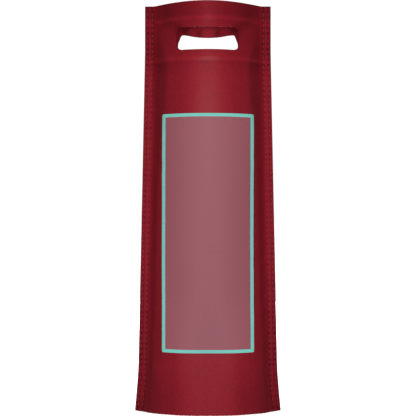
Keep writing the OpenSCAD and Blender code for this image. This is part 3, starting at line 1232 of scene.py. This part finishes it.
@dataclass
class HoleStrip:
    """The strip of cloth pressed to the inside, round the hand hole."""

    skin: Skin
    face: Face
    end: float = 1.96
    edge_columns: int = 5
    columns: int = 84
    rows: int = 24
    pattern_shift: float = 0.3

    def build(self, material: Material) -> Object:
        """Lay out, punch, bend and dress the strip.

        Args:
            material: The strip's material.

        Returns:
            The finished piece.
        """
        shape = self.skin.shape
        side = self.face.name.lower()
        across = share_columns(self.end, self.edge_columns, self.columns)
        top = shape.hem_z - shape.ply_gap
        flat = FlatCloth(f"{side}_strip_cloth", across, share_rows(shape.strip_z, top, self.rows))
        for vert in flat.mesh.vertices:
            vert.co.x = shape.x_at(vert.co.x, vert.co.z)
        flat.shape_by(shape.hole_punch(), "DIFFERENCE")
        piece = flat.bend(
            lambda x, z, share: self.skin.point(x, z, shape.ply + share * shape.cloth),
            lambda x, z: (shape.along(x) + self.pattern_shift, z),
            lambda x, z: (FAR_FROM_SEAM, shape.hole_middle),
            self.skin.relief.wear,
        )
        dress(piece, material)
        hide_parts(f"{side}_hole_strip")
        width = shape.cut_width(shape.hole_middle)
        return piece


@dataclass
class BaseCloth:
    """The base: a flat floor with a folded ear that runs up into each side seam."""

    skin: Skin
    columns: int = 96
    edge_columns: int = 8
    leg_rows: int = 14
    slack: float = 0.5 * MM
    slack_pace: float = 45.0
    slack_seed: float = 3.0
    slack_start: Ramp = Ramp(0, 12)
    slack_share: float = 0.9
    slack_end: float = 0.1
    sink_share: float = 0.5
    area_share: float = 0.9

    def section(self, u: float) -> tuple[list[Vector], list[Vector]]:
        """The foot and the crease of the front leg at one place across the base.

        Args:
            u: Share of the place across, to 2 at the edge of the seam.

        Returns:
            The outer and inner corners of the leg, foot first, as (depth, height).
        """
        shape = self.skin.shape
        x = shape.x_at(u, 0)
        one_ply = shape.ply_gap / 2 + shape.cloth
        foot = max(one_ply, shape.depth(x, 0) - shape.ply - shape.ply_gap / 2)
        half_floor = shape.floor / 2
        reach = (abs(x) - half_floor) / (shape.half_chord(0) - half_floor)
        crease = shape.cloth + (shape.fold - shape.cloth) * clamp(reach)
        lean = math.atan2(crease - shape.cloth, foot - one_ply)
        low = shape.lift(x, 0)
        tuck = shape.cloth * math.tan(lean / 2)
        outer = [Vector((foot, low + shape.cloth * math.cos(lean))), Vector((one_ply, crease))]
        inner = [
            Vector((foot - shape.cloth * math.sin(lean), low)),
            Vector((one_ply - tuck, crease - shape.cloth)),
        ]
        return outer, inner

    def place(self, u: float, leg: float, share: float) -> Vector:
        """Bend a flat place of the base into the bag.

        Args:
            u: Share of the place across.
            leg: From -1 at the front fold through 0 at the crease to 1 at the back fold.
            share: Share of the thickness, 0 on top.

        Returns:
            The place in the frame.
        """
        shape = self.skin.shape
        outer, inner = self.section(u)
        up = 1 - abs(leg)
        spot = outer[0].lerp(outer[1], up).lerp(inner[0].lerp(inner[1], up), share)
        x = shape.x_at(u, spot.y)
        y = self.skin.face.value * spot.x * (1 if leg <= 0 else -1)
        slack = self.slack * wave(x * self.slack_pace, y * self.slack_pace, self.slack_seed)
        slack *= self.slack_start.at(abs(x) - shape.floor / 2) * math.sin(math.pi * up)
        slack *= 1 - smooth((abs(u) - self.slack_share) / self.slack_end)
        sunk = -spot.y * self.sink_share
        return Vector((x, y + self.skin.sway(x, spot.y), spot.y + max(sunk, slack)))

    def build(self, material: Material) -> Object:
        """Lay out, fold and dress the base.

        Args:
            material: The cloth's material.

        Returns:
            The finished piece.
        """
        shape = self.skin.shape
        end = 2 - shape.ear_back / shape.flange
        across = share_columns(end, self.edge_columns, self.columns)
        flat = FlatCloth("base_cloth", across, share_rows(-1, 1, 2 * self.leg_rows))
        piece = flat.bend(self.place, lambda u, leg: (u * shape.half_chord(0), leg * shape.fold))
        dress(piece, material)
        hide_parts("base_gusset")
        2 * shape.half_width(0)
        4 * shape.half_width(0) * shape.fold * self.area_share
        return piece


@dataclass
class StitchRow:
    """One row of stitches on one face of one side seam."""

    skin: Skin
    edge: Edge
    row: Row
    radius: float = 0.36 * MM
    lobes: Pair = (1.12, 0.86)
    hole: float = 1.4 * MM
    hole_share: float = 0.45
    sides: int = 8
    rings: int = 12
    twist: float = math.radians(186)
    crown: float = 0.12 * MM
    dip: float = 0.75 * MM
    dip_power: int = 6
    pinch: float = 0.25
    pinch_power: int = 4
    tilt: float = 0.10
    tilt_paces: Pair = (900.0, 50.0)

    @property
    def name(self) -> str:
        """Name of the piece and of its CAD node."""
        kind = "needle" if self.skin.face is Face.FRONT else "bobbin"
        return f"{self.edge.name.lower()}_{self.row.name.lower()}_{kind}_thread"

    def ring_place(self, share: float, length: float) -> Matrix:
        """Place and turn of one ring of a stitch, which dips into its holes at both ends.

        Args:
            share: The ring's place along the stitch, from 0 to 1.
            length: Length of the stitch.

        Returns:
            The ring's matrix.
        """
        out = abs(2 * share - 1)
        rise = self.crown - self.dip * out**self.dip_power
        narrow = 1 - self.pinch * out**self.pinch_power
        turn = Matrix.Rotation(self.twist * share, 4, "Z")
        place = Matrix.Translation((0, -rise, length * (share - 0.5)))
        return place @ turn @ Matrix.Diagonal((narrow, narrow, 1.0, 1.0))

    def one_stitch(self) -> Mesh:
        """Make one twisted stitch along Z, its ends sunk in their holes."""
        pitch = self.skin.shape.pitch
        length = pitch - self.hole * self.hole_share
        stitch = bmesh.new()
        ring = bmesh.ops.create_circle(stitch, segments=self.sides, radius=self.radius)["verts"]
        lobed = Matrix.Diagonal((*self.lobes, 1.0, 1.0))
        bmesh.ops.transform(stitch, matrix=self.ring_place(0.0, length) @ lobed, verts=ring)
        front = stitch.edges[:]
        for k in range(1, self.rings):
            out = bmesh.ops.extrude_edge_only(stitch, edges=front)["geom"]
            verts = [item for item in out if isinstance(item, bmesh.types.BMVert)]
            front = [item for item in out if isinstance(item, bmesh.types.BMEdge)]
            before = self.ring_place((k - 1) / (self.rings - 1), length)
            after = self.ring_place(k / (self.rings - 1), length)
            bmesh.ops.transform(stitch, matrix=after @ before.inverted(), verts=verts)
        bmesh.ops.holes_fill(stitch, edges=stitch.edges[:], sides=self.sides)
        bmesh.ops.recalc_face_normals(stitch, faces=stitch.faces)
        layer = stitch.loops.layers.uv.new("thread")
        for item in stitch.faces:
            item.smooth = True
            for loop in item.loops:
                round_it = math.atan2(loop.vert.co.y, loop.vert.co.x) / (2 * math.pi)
                loop[layer].uv = (round_it, loop.vert.co.z / pitch)
        return finished_mesh("stitch", stitch)

    def place(self, z: float) -> Matrix:
        """Place and turn of one stitch on the cloth, with a small tilt.

        Args:
            z: Height of its middle.

        Returns:
            The stitch's matrix.
        """
        skin = self.skin
        x, x_above = (
            self.edge.value * (skin.shape.half_width(at) - self.row.value) for at in (z, z + MM)
        )
        spot = skin.point(x, z)
        up = (skin.point(x_above, z + MM) - spot).normalized()
        out = Vector((0, skin.face.value, 0))
        across = up.cross(-out).normalized() if skin.face is Face.FRONT else up.cross(out)
        basis = Matrix((*zip(across, -out, up, spot), (0, 0, 0, 1)))
        lean = self.tilt * wave(z * self.tilt_paces[0], x * self.tilt_paces[1], 0.0)
        return basis @ Matrix.Rotation(lean, 4, "Y")

    def build(self, material: Material) -> Object:
        """Sew the whole row and dress it.

        Args:
            material: The thread's material.

        Returns:
            The finished piece.
        """
        shape = self.skin.shape
        sewn = bmesh.new()
        template = self.one_stitch()
        for k in range(int((shape.height - 2 * shape.seam_end) / shape.pitch)):
            first = len(sewn.verts)
            sewn.from_mesh(template)
            sewn.verts.ensure_lookup_table()
            place = self.place(shape.seam_end + (k + 0.5) * shape.pitch)
            bmesh.ops.transform(sewn, matrix=place, verts=sewn.verts[first:])
        bmesh.ops.recalc_face_normals(sewn, faces=sewn.faces)
        bpy.data.meshes.remove(template)
        piece = link_piece(f"{self.name}_sewn", finished_mesh(self.name, sewn))
        dress(piece, material)
        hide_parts(self.name)
        return piece


@dataclass
class Print:
    """The blank print on the front: a pale field inside a border line."""

    skin: Skin
    width: float = 89.0 * MM
    height: float = 231.0 * MM
    low: float = 60.7 * MM
    line: float = 3.2 * MM
    corner: float = 1.3 * MM
    inner_corner: float = 0.5 * MM
    trim: float = 0.02 * MM
    seat: float = 0.03 * MM
    film: float = 0.10 * MM
    columns: int = 68
    rows: int = 170

    def film_piece(self, name: str, size: Pair, corner: float, window: Pair | None) -> Object:
        """Lay a film on the cloth.

        Args:
            name: Name of the piece.
            size: Width and height of the film.
            corner: Radius of its corners.
            window: Width and height of the opening in it, if it has one.

        Returns:
            The piece, not yet dressed.
        """
        width, height = size
        middle = self.low + self.height / 2
        across = share_rows(-width / 2, width / 2, self.columns)
        along = share_rows(middle - height / 2, middle + height / 2, self.rows)
        flat = FlatCloth(name, across, along)
        reach = (height - self.trim) / 2
        outline = rounded_box(width - self.trim, middle - reach, middle + reach, corner)
        flat.shape_by(outline, "INTERSECT")
        if window is not None:
            reach = window[1] / 2
            inner = rounded_box(window[0], middle - reach, middle + reach, self.inner_corner)
            flat.shape_by(inner, "DIFFERENCE")
        shape = self.skin.shape
        return flat.bend(
            lambda x, z, share: self.skin.point(x, z, share * self.film - self.film - self.seat),
            lambda x, z: (shape.along(x), z),
        )

    def build(self, ink: Material, line_ink: Material) -> list[Object]:
        """Lay and dress both films.

        Args:
            ink: Material of the pale field.
            line_ink: Material of the border line.

        Returns:
            The field and the border line.
        """
        inner = (self.width - 2 * self.line, self.height - 2 * self.line)
        pale = self.film_piece("pale_field", inner, self.inner_corner, None)
        dress(pale, ink)
        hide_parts("print_field")
        line = self.film_piece("border_line", (self.width, self.height), self.corner, inner)
        dress(line, line_ink)
        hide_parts("print_border")
        return [pale, line]


@dataclass(frozen=True)
class Softbox:
    """A rectangular light."""

    name: str
    power: float
    size: Pair
    place: Triple

    def hang(self, aim: Triple) -> None:
        """Hang the light.

        Args:
            aim: The place that it faces.
        """
        data = bpy.data.lights.new(self.name, "AREA")
        data.shape = "RECTANGLE"
        data.size, data.size_y = self.size
        data.energy = self.power
        lamp = placed_object(self.name, data)
        lamp.location = self.place
        toward = Vector(aim) - Vector(self.place)
        lamp.rotation_euler = toward.to_track_quat("-Z", "Y").to_euler()


@dataclass
class Studio:
    """The floor, the lights and the camera."""

    eye_distance: float = 1.365
    eye_height: float = 0.2005
    eye_side: float = 0.15 * MM
    lens: float = 119.28
    sensor: float = 36.0
    softboxes: tuple[Softbox, ...] = (
        Softbox("front_softbox", 15.9, (1.2, 0.2), (0.0, -1.5, 0.20)),
        Softbox("top_softbox", 30.0, (0.5, 0.5), (0.0, -1.8, 1.75)),
        Softbox("back_softbox", 14.0, (0.9, 0.9), (0.25, 1.5, 0.5)),
    )
    aim: Triple = (0.0, 0.0, 0.2)
    floor_power: float = 3.9
    floor_softness: float = 60.0
    floor_size: float = 40.0
    floor_colour: Colour = (0.86, 0.86, 0.86)
    floor_roughness: float = 0.9
    ambient: float = 0.14
    backdrop: float = 1.05

    def floor(self) -> Object:
        """Lay a plain pale floor.

        Returns:
            The floor.
        """
        plane = bmesh.new()
        bmesh.ops.create_grid(plane, x_segments=1, y_segments=1, size=self.floor_size / 2)
        ground = placed_object("floor", finished_mesh("floor", plane))
        tree = NodeTree("pale_floor")
        tree.feed(tree.shader, {
            "Base Color": opaque(self.floor_colour),
            "Roughness": self.floor_roughness,
            "Specular IOR Level": 0.0,
        })
        ground.data.materials.append(tree.material)
        ground.visible_diffuse = False
        ground.visible_glossy = False
        return ground

    def light(self, ground: Object) -> None:
        """Set the softboxes and the floor's own light.

        Args:
            ground: The floor, which alone takes the light from above.
        """
        for softbox in self.softboxes:
            softbox.hang(self.aim)
        data = bpy.data.lights.new("floor_light", "SUN")
        data.energy = self.floor_power
        data.angle = math.radians(self.floor_softness)
        over = placed_object("floor_light", data)
        only = bpy.data.collections.new("floor_only")
        only.objects.link(ground)
        over.light_linking.receiver_collection = only

    def surround(self) -> None:
        """Set the white surround: dim as a light, and bright where the camera sees it."""
        world = bpy.data.worlds.new("studio")
        bpy.context.scene.world = world
        world.use_nodes = True
        nodes, links = world.node_tree.nodes, world.node_tree.links
        nodes.clear()
        choose = nodes.new("ShaderNodeMixShader")
        path = nodes.new("ShaderNodeLightPath")
        links.new(path.outputs["Is Camera Ray"], choose.inputs[0])
        for entry, strength in ((1, self.ambient), (2, self.backdrop)):
            white = nodes.new("ShaderNodeBackground")
            white.inputs["Color"].default_value = (1, 1, 1, 1)
            white.inputs["Strength"].default_value = strength
            links.new(white.outputs[0], choose.inputs[entry])
        output = nodes.new("ShaderNodeOutputWorld")
        links.new(choose.outputs[0], output.inputs["Surface"])

    def camera(self) -> None:
        """Place the camera straight in front, level with the middle of the bag."""
        data = bpy.data.cameras.new("camera")
        data.sensor_width = self.sensor
        data.lens = self.lens
        eye = placed_object("camera", data)
        eye.location = (self.eye_side, -self.eye_distance, self.eye_height)
        eye.rotation_euler = (math.radians(90), 0, 0)
        bpy.context.scene.camera = eye

    def build(self) -> None:
        """Set up the whole studio."""
        self.light(self.floor())
        self.surround()
        self.camera()
        bpy.context.scene.view_settings.view_transform = "Standard"


CLOTH = ClothFinish("burgundy_cloth", (0.2915, 0.0113, 0.0226), (0.2316, 0.0087, 0.0175))
# The strip's cloth is a darker copy of the outer cloth: painted shade for the inside of the bag.
STRIP_SHADED = ClothFinish("burgundy_strip", (0.266, 0.0104, 0.0207), (0.219, 0.0083, 0.0166))
THREAD = ThreadFinish("burgundy_thread", (0.29, 0.017, 0.032), (0.20, 0.011, 0.021))
# Each ink's last colour is painted light, lighter than its own, towards the film's sides.
FIELD = FilmFinish("dusty_pink_ink", (0.263, 0.085, 0.104), (0.239, 0.074, 0.093), (0.291, 0.085, 0.104))
BORDER = FilmFinish("teal_ink", (0.150, 0.47, 0.42), (0.132, 0.42, 0.375), (0.195, 0.59, 0.52))


def main() -> None:
    """Build the bag piece by piece, then the studio round it."""
    logging.basicConfig(level=logging.INFO, format="%(name)s: %(message)s")
    shape = BagShape()
    skins = {face: Skin(shape, Relief(shape, face), face) for face in Face}
    cloth, strip, thread = CLOTH.material(shape), STRIP_SHADED.material(shape), THREAD.material()

    pieces = [Panel(skins[face], face).build(cloth) for face in Face]
    pieces += [HoleStrip(skins[face], face).build(strip) for face in Face]
    pieces.append(BaseCloth(skins[Face.FRONT]).build(cloth))
    for face, edge, row in itertools.product(Face, Edge, Row):
        pieces.append(StitchRow(skins[face], edge, row).build(thread))
    pieces += Print(skins[Face.FRONT]).build(FIELD.material(), BORDER.material())
    for piece in pieces:
        LOG.info("%s: %d faces", piece.name, len(piece.data.polygons))
    Studio().build()


if __name__ == "__main__":
    main()
